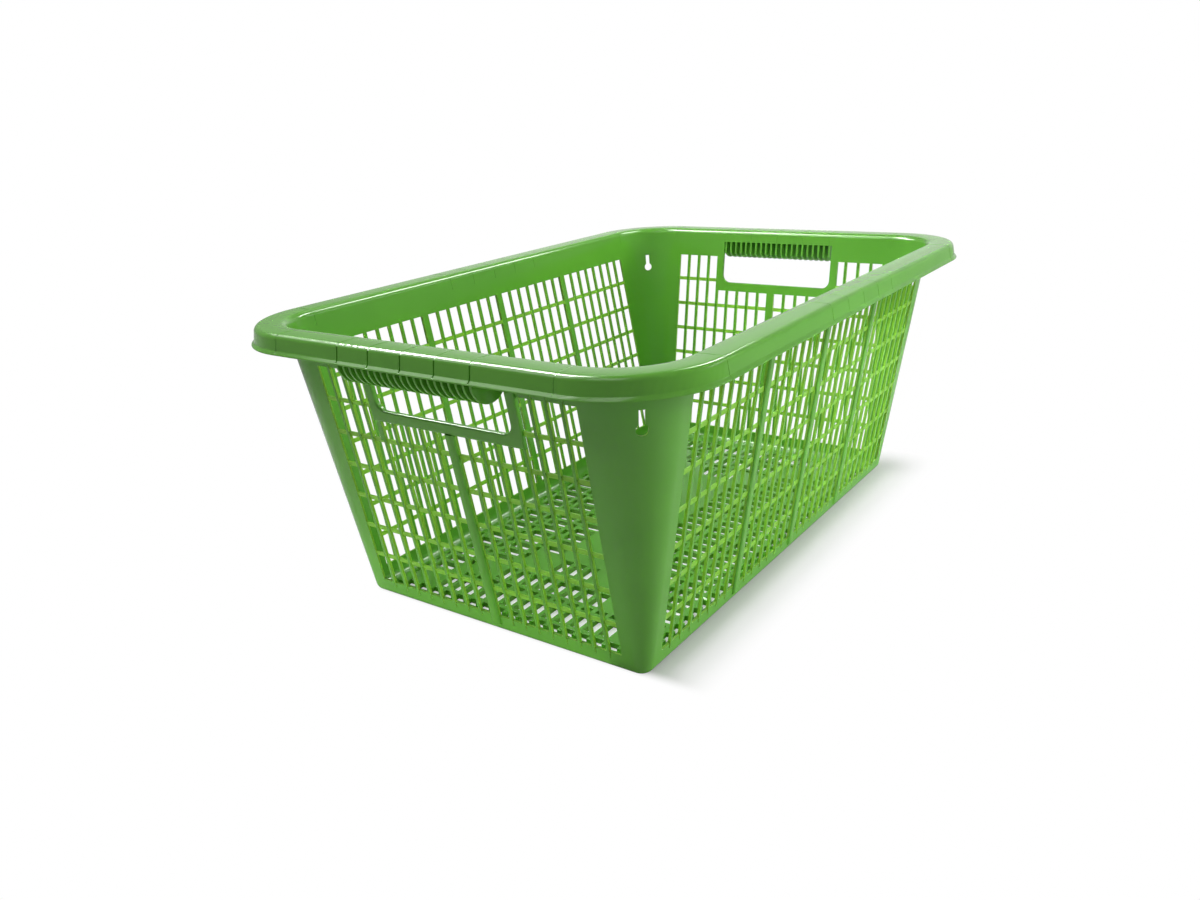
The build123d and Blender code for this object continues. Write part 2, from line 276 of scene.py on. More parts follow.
def mouldedPolypropylene():
    # injection-moulded polypropylene: glossy, a faint orange peel, a soft drift of tone,
    # slightly uneven gloss and, where the section is thin, a yellower glow: painted into the base colour
    # and also let through as light
    material = bpy.data.materials.new("moulded polypropylene")
    material.use_nodes = True
    tree = material.node_tree
    shader = tree.nodes["Principled BSDF"]
    shader.inputs["IOR"].default_value = plastic["ior"]
    shader.inputs["Specular IOR Level"].default_value = plastic["specular"]
    place = addNode(tree, "ShaderNodeTexCoord").outputs["Object"]
    flow = addNode(tree, "ShaderNodeTexNoise",
                   inputs={"Scale": 1 / (plastic["flowSize"] * mm), "Detail": 2.0},
                   links={"Vector": place})
    tone = addNode(tree, "ShaderNodeMix", {"data_type": "RGBA"},
                   {"A": linear(plastic["deep"]), "B": linear(plastic["leaf"])},
                   {"Factor": flow.outputs["Fac"]})
    thin = addNode(tree, "ShaderNodeAttribute", {"attribute_name": "thinGlowShare"}).outputs["Fac"]
    # painted glow: the base colour turns yellower and brighter by the share set on thin faces
    colour = addNode(tree, "ShaderNodeMix", {"data_type": "RGBA"}, {"B": linear(plastic["edge"])},
                     {"Factor": thin, "A": tone.outputs["Result"]})
    tree.links.new(colour.outputs["Result"], shader.inputs["Base Color"])
    scuff = addNode(tree, "ShaderNodeTexNoise",
                    inputs={"Scale": 1 / (plastic["scuffSize"] * mm), "Detail": 3.0},
                    links={"Vector": place})
    gloss = addNode(tree, "ShaderNodeMapRange",
                    inputs={"From Min": plastic["scuffLow"], "From Max": plastic["scuffHigh"],
                            "To Min": plastic["roughLow"], "To Max": plastic["roughHigh"]},
                    links={"Value": scuff.outputs["Fac"]})
    tree.links.new(gloss.outputs["Result"], shader.inputs["Roughness"])
    peel = addNode(tree, "ShaderNodeTexNoise",
                   inputs={"Scale": 1 / (plastic["peelSize"] * mm), "Detail": 1.0},
                   links={"Vector": place})
    bump = addNode(tree, "ShaderNodeBump",
                   inputs={"Strength": 1.0, "Distance": plastic["peelDepth"] * mm},
                   links={"Height": peel.outputs["Fac"]})
    tree.links.new(bump.outputs["Normal"], shader.inputs["Normal"])
    passed = addNode(tree, "ShaderNodeMath", {"operation": "MULTIPLY"},
                     {1: plastic["throughShare"]}, {0: thin})
    glow = addNode(tree, "ShaderNodeBsdfTranslucent", inputs={"Color": linear(plastic["through"])})
    body = addNode(tree, "ShaderNodeMixShader",
                   links={"Fac": passed.outputs["Value"], 1: shader.outputs["BSDF"],
                          2: glow.outputs["BSDF"]})
    tree.links.new(body.outputs["Shader"], tree.nodes["Material Output"].inputs["Surface"])
    return material


greenPlastic = mouldedPolypropylene()


def markThin(test, value=1.0):
    # faces that pass the test let this share of the light through and get as much of the painted glow, a
    # yellower, brighter base colour
    pick("FACE", test)
    data = bpy.context.edit_object.data
    if "thinGlowShare" not in data.attributes:
        bpy.ops.geometry.attribute_add(name="thinGlowShare", domain="FACE", data_type="FLOAT")
    data.attributes.active = data.attributes["thinGlowShare"]
    bpy.ops.mesh.attribute_set(value_float=value)


pieces = {}  # finished pieces by the node that each one stands for


def finishPiece(piece, node):
    piece.data.materials.clear()
    piece.data.materials.append(greenPlastic)
    pieces[node] = piece


def finishPair(piece, node, twinNode):
    # a piece of the front or left side, and its copy half a turn round the basket
    settle(piece, turns[node.split("_")[0]])
    finishPiece(piece, node)
    choose(piece)
    bpy.ops.object.duplicate(linked=False)
    twin = bpy.context.object
    twin.name = twinNode + "_moulding"
    twin.rotation_euler.z = math.pi
    bpy.ops.object.transform_apply(location=False, rotation=True, scale=False)
    finishPiece(twin, twinNode)


def finishCorners(piece, form):
    # the four corners of one moulded form, by a half turn and by mirroring
    settle(piece)
    finishPiece(piece, "front_right_" + form)
    for side, signX, signY in (("back_right", 1, -1), ("back_left", -1, -1), ("front_left", -1, 1)):
        choose(piece)
        bpy.ops.object.duplicate(linked=False)
        twin = bpy.context.object
        twin.name = f"{side}_{form}_moulding"
        twin.scale = (signX, signY, 1)
        bpy.ops.object.transform_apply(location=False, rotation=False, scale=True)
        if signX * signY < 0:
            bpy.ops.object.mode_set(mode="EDIT")
            faceOutwards()
            bpy.ops.object.mode_set(mode="OBJECT")
        finishPiece(twin, f"{side}_{form}")


# Window grid of the walls: windows, level bars and upright ribs as rectangles

def windowCells(xLow, xHigh, columns):
    pitch = (xHigh - xLow + basket["barWidth"]) / columns
    return [(xLow + pitch * i, xLow + pitch * (i + 1) - basket["barWidth"]) for i in range(columns)]


def ribsBetween(cells):
    return [(right, right + basket["barWidth"]) for left, right in cells[:-1]]


def barsBetween(cells, rows):
    return [cell + (below[1], above[0]) for cell in cells for below, above in zip(rows, rows[1:])]


def within(face, boxes):
    middle = face.calc_center_median()
    return any(b[0] < middle.x < b[1] and b[2] < middle.z < b[3] for b in boxes)


grille = {
    "recess": 0.4,  # level bars lie this far behind the outer face
    "ribProud": 0.6,
    "ribRound": 0.5,
    "edgeRound": 0.25,
    "ribFoot": 11.0,
    "ribTop": windowTop + 4.0,
    "barThin": 0.7,  # how thin the section looks, from 0 to 1: share of painted glow in its colour and of light let through
    "ribThin": 1.0,
    "barSpare": 0.3,  # rounded edge that gets the painted glow of its bar
    "endSpare": 1.0,  # ends of the wall that get no painted glow
    "flatShare": 0.93,  # cosine to the wall under which a face is an edge
    "sideShare": 0.7,  # share of X in the normal, over which that edge is the side of an upright rib
}


def grilleWall(name, reach, panels, windows, bars, ribs, openEnds):
    # panels, windows, bars and ribs are boxes (x low, x high, z low, z high)
    xLow, xHigh = min(p[0] for p in panels), max(p[1] for p in panels)
    zLow, zHigh = min(p[2] for p in panels), max(p[3] for p in panels)
    piece = wallSheet(name, xLow, xHigh, zLow, zHigh, reach, basket["wall"])
    boxes = panels + windows + ribs
    cutLines(axisX, [x for b in boxes for x in b[:2] if xLow < x < xHigh])
    cutLines(axisZ, [z for b in boxes for z in b[2:] if zLow < z < zHigh])
    cutAway(lambda f: within(f, windows) or not within(f, panels))
    push(0, grille["recess"] - basket["wall"], 0)
    pick("FACE", lambda f: not within(f, bars), narrow=True)
    push(0, -grille["recess"], 0)
    pick("FACE", lambda f: within(f, ribs), narrow=True)
    push(0, -grille["ribProud"], 0)
    bpy.ops.mesh.region_to_loop()

    def atOpenEnd(edge):
        return any(abs(v.co.z - z) < slack for z in openEnds for v in edge.verts)

    pick("EDGE", lambda e: not (isLevel(e) and atOpenEnd(e)), narrow=True)
    bevelPicked(grille["ribRound"], 3)

    def onRim(edge):
        middle = (edge.verts[0].co + edge.verts[1].co) / 2
        atEnd = min(abs(middle.z - z) for z in openEnds + [zLow, zHigh]) < 2 * slack
        return (isLevel(edge) and atEnd) or min(abs(middle.x - x) for x in (xLow, xHigh)) < 2 * slack

    pick("EDGE", lambda e: isSharp(e) and not onRim(e))
    bevelPicked(grille["edgeRound"], 2)
    slope = Vector((0, -1, -lean)).normalized()
    spare = grille["barSpare"]
    barFaces = [(b[0], b[1], b[2] - spare, b[3] + spare) for b in bars]

    def isEdge(face):
        height = face.calc_center_median().z
        clear = zLow + grille["endSpare"] < height < zHigh - grille["endSpare"]
        return clear and abs(face.normal.dot(slope)) < grille["flatShare"]

    # painted glow: edges of the windows and the level bars get a yellower, brighter colour and let light
    # through, rib sides fully
    markThin(lambda f: isEdge(f) or within(f, barFaces), grille["barThin"])
    markThin(lambda f: isEdge(f) and abs(f.normal.x) > grille["sideShare"], grille["ribThin"])
    tidyMesh(piece)
    return piece


longSide = {"spacing": 110.0, "ribWidth": 8.0, "middleColumns": 7, "outerColumns": 8, "ribProud": 2.0,
            "ribRound": 1.7, "ribFoot": 8.0}
halfRib = longSide["ribWidth"] / 2
windowEnd = cornerX - basket["margin"]
bays = [
    (-windowEnd, -longSide["spacing"] - halfRib, longSide["outerColumns"]),
    (-longSide["spacing"] + halfRib, -halfRib, longSide["middleColumns"]),
    (halfRib, longSide["spacing"] - halfRib, longSide["middleColumns"]),
    (longSide["spacing"] + halfRib, windowEnd, longSide["outerColumns"]),
]
rowFeet = [basket["bottomBand"] + rowPitch * i for i in range(basket["rows"] + 1)]
rowEdges = [(foot, nextFoot - basket["barHeight"]) for foot, nextFoot in zip(rowFeet, rowFeet[1:])]
longCells = [windowCells(*bay) for bay in bays]
flatCells = [cell for cells in longCells for cell in cells]
longWindows = [cell + row for cell in flatCells for row in rowEdges]
longRibs = [rib + (grille["ribFoot"], grille["ribTop"])
            for cells in longCells for rib in ribsBetween(cells)]
frontGrille = grilleWall("front_grille_moulding", cornerY, [(-cornerX, cornerX, basket["foot"], seam)],
                         longWindows, barsBetween(flatCells, rowEdges), longRibs, [])
finishPair(frontGrille, "front_grille", "back_grille")
print("stage: long grilles,", len(frontGrille.data.polygons), "faces each")


def raisedRib(name, boxes, reach, proud, rounding, openTop):
    # broad ribs that stand on the outer face of a wall
    xLow, xHigh = min(b[0] for b in boxes), max(b[1] for b in boxes)
    zLow, zHigh = boxes[0][2], boxes[0][3]
    piece = wallSheet(name, xLow, xHigh, zLow, zHigh, reach, 0)
    cutLines(axisX, [x for b in boxes for x in b[:2] if xLow < x < xHigh])
    cutAway(lambda f: not within(f, boxes))
    push(0, -proud, 0)
    bpy.ops.mesh.region_to_loop()
    pick("EDGE", lambda e: not openTop or min(v.co.z for v in e.verts) < zHigh - slack, narrow=True)
    bevelPicked(rounding, 5)
    tidyMesh(piece)
    return piece


stiffenerBoxes = [(x - halfRib, x + halfRib, longSide["ribFoot"], grille["ribTop"])
                  for x in (-longSide["spacing"], 0, longSide["spacing"])]
frontStiffeners = raisedRib("front_stiffeners_moulding", stiffenerBoxes, cornerY, longSide["ribProud"],
                            longSide["ribRound"], False)
finishPair(frontStiffeners, "front_stiffeners", "back_stiffeners")
print("stage: stiffeners")

# Ends: grilles around the hand-hold, the half-round rib and the raised frame
hold = {"width": 138.0, "depth": 48.0, "corner": 9.0, "post": 8.7, "sill": 10.0, "proud": 2.4,
        "rounding": 1.6, "gapSpare": 0.05, "footSpare": 1.0}
endWall = {"ribOffset": 3.8, "ribWidth": 9.0, "ribProud": 3.5, "ribRound": 3.3, "ribFoot": 8.0,
           "columns": 9}
sillTop = seam - hold["depth"]
frameFoot = sillTop - hold["sill"]
frameOut = hold["width"] / 2 + hold["post"]
besideRows = math.ceil((windowTop + basket["barHeight"] / 2 - frameFoot) / rowPitch)
split = windowTop - besideRows * rowPitch + basket["barHeight"] / 2
endWindow = cornerY - basket["margin"]
endRibEdges = (endWall["ribOffset"] - endWall["ribWidth"] / 2,
               endWall["ribOffset"] + endWall["ribWidth"] / 2)
endBays = [windowCells(-endWindow, endRibEdges[0], endWall["columns"]),
           windowCells(endRibEdges[1], endWindow, endWall["columns"])]
endCells = [cell for cells in endBays for cell in cells]
endRibs = [rib for cells in endBays for rib in ribsBetween(cells)]
lowRows, highRows = rowEdges[:-besideRows], rowEdges[-besideRows:]
shortCells = [c for c in endCells if -frameOut <= c[0] and c[1] <= frameOut]
lowPanels = [(-cornerY, cornerY, basket["foot"], split), (-frameOut, frameOut, split, frameFoot)]
lowWindows = [cell + row for cell in endCells for row in lowRows]
lowWindows += [cell + (highRows[0][0], frameFoot) for cell in shortCells]
lowBars = barsBetween(endCells, lowRows)
lowBars += [cell + (lowRows[-1][1], highRows[0][0] if cell in shortCells else split) for cell in endCells]
lowRibs = [rib + (grille["ribFoot"], frameFoot if -frameOut < rib[0] and rib[1] < frameOut else split)
           for rib in endRibs]
leftLower = grilleWall("left_lower_grille_moulding", cornerX, lowPanels, lowWindows, lowBars, lowRibs,
                       [split, frameFoot])
finishPair(leftLower, "left_lower_grille", "right_lower_grille")
print("stage: lower grilles,", len(leftLower.data.polygons), "faces each")

for sign, node, twinNode in ((1, "left_front_upper_grille", "right_back_upper_grille"),
                             (-1, "left_back_upper_grille", "right_front_upper_grille")):
    beside = [sorted((abs(c[0]), abs(c[1]))) for c in endCells if sign * c[0] > 0]
    beside = [(frameOut if near < frameOut + basket["barWidth"] else near, far)
              for near, far in beside if far > frameOut + basket["barWidth"]]
    sideCells = [tuple(sorted((sign * near, sign * far))) for near, far in beside]
    sidePanel = tuple(sorted((sign * frameOut, sign * cornerY))) + (split, seam)
    sideWindows = [cell + row for cell in sideCells for row in highRows]
    sideRibs = [rib + (split, grille["ribTop"]) for rib in endRibs
                if sign * rib[0] > 0 and min(map(abs, rib)) >= frameOut]
    sideBars = [cell + (split, highRows[0][0]) for cell in sideCells] + barsBetween(sideCells, highRows)
    upper = grilleWall(node + "_moulding", cornerX, [sidePanel], sideWindows, sideBars, sideRibs, [split])
    finishPair(upper, node, twinNode)
print("stage: upper grilles")

leftRib = raisedRib("left_end_rib_moulding", [endRibEdges + (endWall["ribFoot"], frameFoot)], cornerX,
                    endWall["ribProud"], endWall["ribRound"], True)
finishPair(leftRib, "left_end_rib", "right_end_rib")


def handleFrame():
    # an upright U, drawn on the inner face of the wall and pushed out through it
    half = hold["width"] / 2
    outline = [(-frameOut, seam), (-frameOut, frameFoot), (frameOut, frameFoot), (frameOut, seam),
               (half, seam), (half, sillTop), (-half, sillTop), (-half, seam)]
    points = [(x, -cornerX - wallOut(z) + basket["wall"], z) for x, z in outline]
    piece = outlineFace("left_handle_frame_moulding", points)
    for corner in points[5:7]:
        roundCorner(corner, hold["corner"], 8)
    selectFaces()
    push(0, -basket["wall"] - hold["proud"], 0)
    bpy.ops.mesh.region_to_loop()

    def underSeam(edge):
        return min(v.co.z for v in edge.verts) < seam - slack

    def roundGap(edge):
        # edges of the gap itself, clear of the foot of the frame
        return all(abs(v.co.x) < half + hold["gapSpare"] and v.co.z > frameFoot + hold["footSpare"]
                   for v in edge.verts)

    pick("EDGE", underSeam, narrow=True)
    bevelPicked(hold["rounding"], 5)
    faceOutwards()
    pick("EDGE", lambda e: isSharp(e) and underSeam(e) and roundGap(e))
    bevelPicked(grille["edgeRound"] * 2, 2)
    tidyMesh(piece)
    return piece


finishPair(handleFrame(), "left_handle_frame", "right_handle_frame")
print("stage: hand-hold frames and end ribs")

# Corner posts with their keyholes
# a straight start and end on each corner, so that its shading runs on from the straight pieces
turnRound = {"leadIn": 0.05, "steps": 40}
# the post is cut across at rows, close together round the hole and few below it
keyhole = {"drop": 46.5, "diameter": 9.0, "slotWidth": 4.6, "slotLength": 14.7, "rounding": 0.5,
           "sides": 48, "cutDepth": 30.0, "rowStep": 5.0, "lowRows": [60, 120, 160], "spare": 6.0,
           "edgeReach": 5.2, "edgeShare": 0.86, "smoothAngle": 30}


def sweepCorner():
    # carries the picked outline round the front right corner, with a short straight start and end
    leadIn = turnRound["leadIn"]
    push(leadIn, 0, 0)
    centre = (cornerX + leadIn, -cornerY - leadIn, 0)
    bpy.ops.mesh.spin(steps=turnRound["steps"], angle=math.pi / 2, center=centre, axis=(0, 0, -1))
    push(0, leadIn, 0)


def cornerPost():
    low, high, wall = basket["foot"], seam, basket["wall"]
    corners = [(cornerX, -cornerY - wallOut(low), low),
               (cornerX, -cornerY - wallOut(high), high),
               (cornerX, -cornerY - wallOut(high) + wall, high),
               (cornerX, -cornerY - wallOut(low) + wall, low)]
    piece = outlineFace("front_right_corner_post_moulding", corners)
    sweepCorner()
    middle = basket["height"] - keyhole["drop"]
    cutLines(axisZ, [middle + keyhole["rowStep"] * i for i in range(-3, 5)] + keyhole["lowRows"])
    merge(weld)
    faceOutwards()
    leaveEdit()
    outwards, along = Vector((1, -1, 0)).normalized(), Vector((1, 1, 0)).normalized()
    hole = Vector((cornerX, -cornerY, middle)) + outwards * wallOut(middle)
    bpy.ops.mesh.primitive_cylinder_add(vertices=keyhole["sides"], radius=keyhole["diameter"] / 2,
                                        depth=keyhole["cutDepth"], location=hole,
                                        rotation=outwards.to_track_quat("Z", "Y").to_euler())
    drill = bpy.context.object
    length = keyhole["slotLength"]
    bpy.ops.mesh.primitive_cube_add(size=1, location=hole + axisZ * length / 2,
                                    rotation=(0, 0, -math.pi / 4))
    slot = bpy.context.object
    slot.scale = (keyhole["cutDepth"], keyhole["slotWidth"], length)
    for cutter in (drill, slot):
        choose(piece)
        cut = piece.modifiers.new("keyhole", "BOOLEAN")
        cut.operation = "DIFFERENCE"
        cut.solver = "EXACT"
        cut.object = cutter
        bpy.ops.object.modifier_apply(modifier=cut.name)
        bpy.data.objects.remove(cutter)
    choose(piece)
    bpy.ops.object.mode_set(mode="EDIT")
    merge(touch)

    def nearHole(place):
        return (place - hole).length < length + keyhole["spare"]

    def onEdge(face):
        place = face.calc_center_median()
        beside = nearHole(place) and abs((place - hole).dot(along)) < keyhole["edgeReach"]
        return beside and abs(face.normal.dot(outwards)) < keyhole["edgeShare"]

    pick("EDGE", lambda e: isSharp(e) and all(nearHole(v.co) for v in e.verts))
    bevelPicked(keyhole["rounding"], 3)
    # painted highlight: the rounded rim of the keyhole gets the yellower, brighter glow colour and lets
    # light through
    markThin(onEdge)
    tidyMesh(piece, keyhole["smoothAngle"])
    return piece


post = cornerPost()
finishCorners(post, "corner_post")
print("stage: corner posts,", len(post.data.polygons), "faces each")

# Rim: an upside-down channel with a lip, swept as rails and corners
rim = {"thickness": 2.4, "skirtDepth": 16.0, "draft": 2.0, "lipHeight": 3.2, "lipEdge": 0.9,
       "lipReach": 2.3, "crown": 0.9, "crownIn": 4.0, "crownRound": 6.0, "innerRound": 4.6,
       "outerRound": 3.8, "lipRound": 0.45, "footRound": 0.4, "skirtRound": 0.5, "channelRound": 1.0}
lipOut = basket["baseCorner"] + basket["flare"] + basket["overhang"]
lipFoot = basket["height"] - rim["skirtDepth"]
rimUnder = basket["height"] - rim["thickness"]
skirtFoot = lipOut - rim["lipReach"]
skirtTop = skirtFoot - rim["draft"]


def skirtIn(z):
    return skirtTop - rim["thickness"] + rim["draft"] * (rimUnder - z) / (rimUnder - lipFoot)


def rimSection():
    # outwards from the corner axis, height, rounding run and segments
    top = basket["height"]
    return [
        (wallOut(seam) - basket["wall"], seam, 0, 0),
        (wallOut(top) - basket["wall"], top - rim["crown"], rim["innerRound"], 6),
        ((wallOut(top) + skirtTop) / 2 - rim["crownIn"], top, rim["crownRound"], 4),
        (skirtTop, top - rim["crown"] / 2, rim["outerRound"], 8),
        (skirtFoot, lipFoot + rim["lipHeight"], rim["lipRound"], 3),
        (lipOut, lipFoot + rim["lipEdge"], rim["lipRound"], 3),
        (lipOut, lipFoot, rim["footRound"], 3),
        (skirtIn(lipFoot), lipFoot, rim["skirtRound"], 2),
        (skirtIn(rimUnder), rimUnder, rim["channelRound"], 2),
        (wallOut(rimUnder), rimUnder, rim["channelRound"], 2),
        (wallOut(seam), seam, 0, 0),
    ]


def rimFace(name, x, reach):
    section = rimSection()
    piece = outlineFace(name, [(x, -reach - out, z) for out, z, run, count in section])
    for out, z, run, count in section:
        if run:
            roundCorner((x, -reach - out, z), run, count)
    selectFaces()
    return piece


# lines pressed into the rails; the spares say which verts count as the skirt or the inner face
sink = {"width": 1.3, "edge": 0.18, "depth": 0.3, "skirtDepth": 1.3, "faintDepth": 0.3,
        "finWidth": 3.4, "finDepth": 0.16, "lipSpare": 0.5, "topSpare": 3.2, "innerSpare": 0.3}


def rimRail(name, halfRun, reach, lines, deepLines, finLines):
    piece = rimFace(name, -halfRun, reach)
    push(2 * halfRun, 0, 0)
    half = sink["width"] / 2
    slots = [x + side * run for x in lines for side in (-1, 1) for run in (half, half - sink["edge"])]
    dents = [x + share * sink["finWidth"] / 2 for x in finLines for share in (-1, 0, 1)]
    cutLines(axisX, slots + dents)
    faceOutwards()

    def onSkirt(v):
        outside = -v.co.y - reach > skirtIn(v.co.z) + rim["thickness"] / 2
        aboveLip = v.co.z > lipFoot + rim["lipHeight"] - sink["lipSpare"]
        return outside and aboveLip and v.co.z < basket["height"] - sink["topSpare"]

    def onTop(v):
        onInner = -v.co.y - reach < wallOut(v.co.z) - basket["wall"] + sink["innerSpare"]
        return onInner or v.co.z > rimUnder + rim["thickness"] / 4

    def press(places, spread, test, depth):
        pick("VERT", lambda v: any(abs(v.co.x - x) < spread for x in places) and test(v))
        bpy.ops.transform.shrink_fatten(value=-depth)

    faintLines = [x for x in lines if x not in deepLines]
    bottom = half - sink["edge"] + slack
    press(deepLines, bottom, onSkirt, sink["skirtDepth"])
    press(faintLines, bottom, onSkirt, sink["faintDepth"])
    press(lines, bottom, onTop, sink["depth"])
    press(finLines, slack, lambda v: onSkirt(v) or onTop(v), sink["finDepth"])
    tidyMesh(piece)
    return piece


grip = {"fins": 21, "fin": 2.2, "drop": 13.0, "belly": 6.5, "clearance": 1.5, "inset": 1.5,
        "finRound": 0.5, "arcSteps": 14}
gripLength = hold["width"] - 2 * grip["clearance"]
finPitch = (gripLength - grip["fin"]) / (grip["fins"] - 1)
finPlaces = [(grip["fin"] - gripLength) / 2 + finPitch * i for i in range(grip["fins"])]
rimLines = {"spacing": 33.0, "middle": 5, "endGap": 2.5}
middleLines = [rimLines["spacing"] * (i - (rimLines["middle"] - 1) / 2)
               for i in range(rimLines["middle"])]
rails = (("front_rim_rail", "back_rim_rail", cornerX, cornerY, []),
         ("left_rim_rail", "right_rim_rail", cornerY, cornerX, finPlaces))
for node, twinNode, halfRun, reach, fins in rails:
    lines = middleLines + [rimLines["endGap"] - halfRun, halfRun - rimLines["endGap"]]
    clearFins = [x for x in fins if min(abs(x - line) for line in lines) > sink["finWidth"]]
    rail = rimRail(node + "_moulding", halfRun, reach, lines, middleLines if fins else [], clearFins)
    finishPair(rail, node, twinNode)
print("stage: rim rails")

rimCorner = rimFace("front_right_rim_corner_moulding", cornerX, cornerY)
sweepCorner()
tidyMesh(rimCorner)
finishCorners(rimCorner, "rim_corner")
print("stage: rim corners,", len(rimCorner.data.polygons), "faces each")


# Grip: thin plates in the channel, with a round underside
def gripFins():
    innerFoot = seam - grip["drop"]
    inner = Vector((wallOut(innerFoot) - basket["wall"], innerFoot))
    outer = Vector((lipOut - grip["inset"], lipFoot))
    belly = Vector(((inner.x + outer.x) / 2, innerFoot - grip["belly"]))
    # circle through the two ends and the belly of the underside
    a, b = outer - inner, belly - inner
    cross = 2 * (a.x * b.y - a.y * b.x)
    centre = inner + Vector((b.y * a.length_squared - a.y * b.length_squared,
                             a.x * b.length_squared - b.x * a.length_squared)) / cross
    radius = (inner - centre).length
    start, end = [math.atan2(p.y - centre.y, p.x - centre.x) for p in (outer, inner)]
    end -= 2 * math.pi if end > start else 0
    bends = [start + (end - start) * i / grip["arcSteps"] for i in range(1, grip["arcSteps"])]
    arc = [(centre.x + radius * math.cos(bend), centre.y + radius * math.sin(bend)) for bend in bends]
    section = [tuple(inner), (wallOut(seam) - basket["wall"], seam), (wallOut(seam), seam),
               (wallOut(rimUnder), rimUnder), (skirtIn(rimUnder), rimUnder), (skirtIn(lipFoot), lipFoot),
               tuple(outer)] + arc
    left = finPlaces[0] - grip["fin"] / 2
    piece = outlineFace("left_grip_fins_moulding", [(left, -cornerX - out, z) for out, z in section])
    selectFaces()
    push(grip["fin"], 0, 0)
    faceOutwards()

    def onUnderside(edge):
        heights = [v.co.z - lipFoot for v in edge.verts]
        return max(heights) < grip["finRound"] and min(heights) < -10 * slack

    pick("EDGE", lambda e: isSharp(e) and onUnderside(e))
    bevelPicked(grip["finRound"], 3)
    tidyMesh(piece)
    row = piece.modifiers.new("row", "ARRAY")
    row.count = grip["fins"]
    row.use_relative_offset = False
    row.use_constant_offset = True
    row.constant_offset_displace = (finPitch, 0, 0)
    bpy.ops.object.modifier_apply(modifier=row.name)
    return piece


finishPair(gripFins(), "left_grip_fins", "right_grip_fins")
print("stage: grips")

# Base ring and floor grille
base = {"ring": 9.0, "edgeRound": 6.0, "fillet": 5.0, "filletTurn": 15, "cornerSteps": 16,
        "capVerts": 8, "marginX": 10.0, "marginY": 4.0, "rings": 3, "bar": 4.6, "windowWidth": 10.4,
        "longWindow": 22.0, "shortWindow": 5.5, "barRise": 2.6, "thin": 0.2, "flatShare": 0.9}
ringOut = wallOut(basket["floor"])


def baseRing():
    thick, top, fillet = basket["floor"], basket["foot"], base["fillet"]
    section = [(wallOut(0), 0), (wallOut(top), top), (wallOut(top) - basket["wall"], top)]
    for degrees in range(0, 91, base["filletTurn"]):
        turn = math.radians(degrees)
        z = thick + fillet * (1 - math.sin(turn))
        section.append((wallOut(z) - basket["wall"] - fillet * (1 - math.cos(turn)), z))
    section += [(ringOut - base["ring"], thick), (ringOut - base["ring"], 0)]
    piece = outlineFace("base_ring_moulding", [(cornerX, -cornerY - out, z) for out, z in section])
    roundCorner((cornerX, -cornerY - wallOut(0), 0), base["edgeRound"], 8)
    selectFaces()
    for signX, signY, runX, runY in ((1, -1, 0, 1), (1, 1, -1, 0), (-1, 1, 0, -1), (-1, -1, 1, 0)):
        bpy.ops.mesh.spin(steps=base["cornerSteps"], angle=math.pi / 2,
                          center=(signX * cornerX, signY * cornerY, 0), axis=(0, 0, -1))
        push(runX * 2 * cornerX, runY * 2 * cornerY, 0)
    merge(touch)
    cutAway(lambda f: len(f.verts) > base["capVerts"])  # the outline where the sweep starts and ends
    tidyMesh(piece)
    return piece


ring = baseRing()
settle(ring)
finishPiece(ring, "base_ring")


def floorWindows(halfX, halfY):
    # boxes (x low, x high, y low, y high): each ring is a band of short windows round a band of long ones
    pitch = base["windowWidth"] + base["bar"]

    def places(halfLength, depth):
        count = math.floor((2 * (halfLength - depth - base["bar"]) + base["bar"]) / pitch)
        return [pitch * (i - (count - 1) / 2) for i in range(count)]

    boxes = []
    bands = ((0, base["shortWindow"]), (base["shortWindow"] + base["bar"], base["longWindow"]))
    for ringIndex in range(base["rings"]):
        start = ringIndex * (base["shortWindow"] + base["longWindow"] + 2 * base["bar"])
        for step, depth in bands:
            edgeX = halfX - base["marginX"] - start - step
            edgeY = halfY - base["marginY"] - start - step
            for sign in (-1, 1):
                boxes += [(x, sign * (edgeY - depth / 2), base["windowWidth"], depth)
                          for x in places(edgeX, depth)]
                boxes += [(sign * (edgeX - depth / 2), y, depth, base["windowWidth"])
                          for y in places(edgeY, depth)]
    return [(x - wide / 2, x + wide / 2, y - deep / 2, y + deep / 2) for x, y, wide, deep in boxes]


